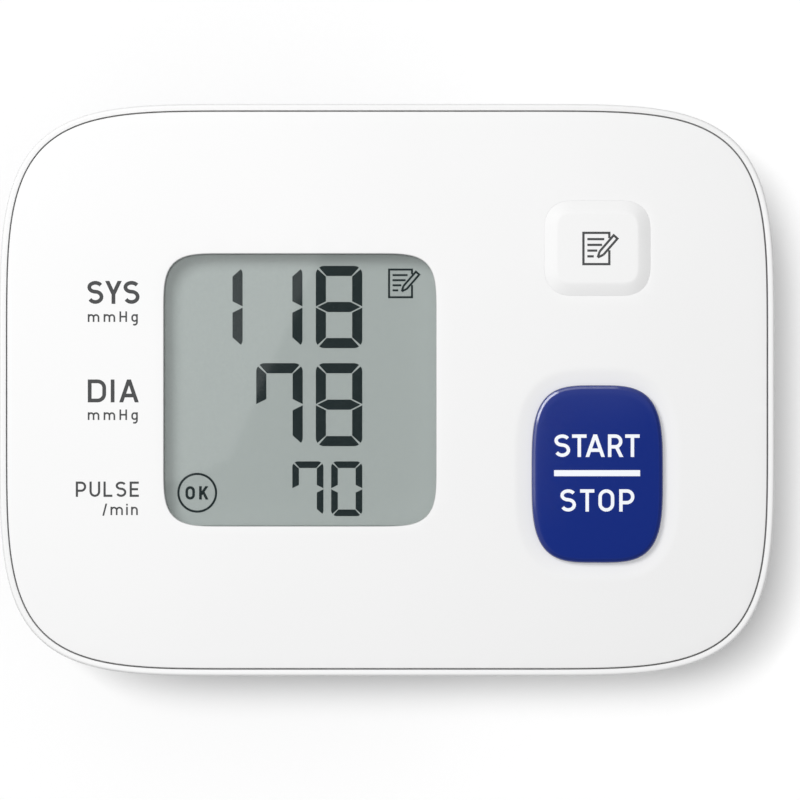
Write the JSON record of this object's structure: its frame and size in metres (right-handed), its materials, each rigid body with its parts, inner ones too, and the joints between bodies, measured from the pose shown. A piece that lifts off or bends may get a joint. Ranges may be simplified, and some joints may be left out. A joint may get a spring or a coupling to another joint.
{
  "type": "wrist blood pressure monitor",
  "caption": "Rounded white case with a display window, a large start/stop key and a small memory key, on a closed padded wrist cuff that measures blood pressure.",
  "frame": {"origin": "on the ground under the middle of the case, where the closed cuff rests", "axes": "+X along the case towards the keys, +Y across it towards the top of the display, +Z out of the display"},
  "size_m": [0.084, 0.062, 0.0739],
  "materials": {
    "white_plastic": "moulded, satin",
    "blue_plastic": "moulded, glossy",
    "clear_lens": "clear acrylic",
    "lcd": "polarising film on glass",
    "black_rubber": "moulded",
    "black_plastic": "moulded",
    "grey_plastic": "moulded",
    "circuit_board": "solder mask on glass fibre",
    "steel": "zinc plated",
    "nickel": "nickel plated spring strip",
    "copper_winding": "enamelled wire",
    "cell_wrap": "printed foil",
    "silicone": "translucent, matte",
    "cuff_fabric": "brushed loop nylon",
    "lining_fabric": "woven polyester",
    "binding_fabric": "woven tape"
  },
  "bodies": {
    "monitor": {"rear_case": "white_plastic", "front_cover": "white_plastic", "display_lens": "clear_lens", "lcd_cell": "lcd", "lcd_holder": "grey_plastic", "lcd_connector_upper": "black_rubber", "lcd_connector_lower": "black_rubber", "start_switch": "black_plastic", "memory_switch": "black_plastic", "main_board": "circuit_board", "processor": "black_plastic", "pressure_sensor": "black_plastic", "capacitor": "black_plastic", "pump_motor": "steel", "pump_head": "black_plastic", "air_manifold": "grey_plastic", "pump_tube": "silicone", "valve_tube": "silicone", "sensor_tube": "silicone", "valve_yoke": "steel", "valve_coil": "copper_winding", "cell_1": "cell_wrap", "cell_2": "cell_wrap", "cell_spring_1": "nickel", "cell_spring_2": "nickel", "contact_tab_1": "nickel", "contact_tab_2": "nickel", "contact_bridge": "nickel", "case_screw_1": "steel", "case_screw_2": "steel", "case_screw_3": "steel", "case_screw_4": "steel", "board_screw_1": "steel", "board_screw_2": "steel", "board_screw_3": "steel", "cuff_screw_1": "steel", "cuff_screw_2": "steel", "cuff_cover": "cuff_fabric", "cuff_curler": "grey_plastic", "cuff_bladder": "silicone", "cuff_lining": "lining_fabric", "cuff_binding": "binding_fabric"},
    "start_button": {"start_stop_key": "blue_plastic", "start_switch_plunger": "grey_plastic"},
    "memory_button": {"memory_key": "white_plastic", "memory_switch_plunger": "grey_plastic"},
    "battery_door": {"battery_cover": "white_plastic"},
    "closing_flap": {"cuff_flap": "cuff_fabric", "hook_tape": "binding_fabric"}
  },
  "joints": [
    {"name": "start_press", "type": "slide", "parent": "monitor", "child": "start_button", "axis": [0, 0, -1], "range_m": [0, 0.0004], "stiffness_N_per_m": 800},
    {"name": "memory_press", "type": "slide", "parent": "monitor", "child": "memory_button", "axis": [0, 0, -1], "range_m": [0, 0.0004], "stiffness_N_per_m": 800},
    {"name": "battery_door_lift", "type": "slide", "parent": "monitor", "child": "battery_door", "axis": [0, 0, -1], "range_m": [0, 0.02]},
    {"name": "flap_open", "type": "hinge", "parent": "monitor", "child": "closing_flap", "pos_m": [-0.0133, -0.02489, 0.0051], "axis": [1, 0, 0], "range_deg": [0, 80]}
  ]
}
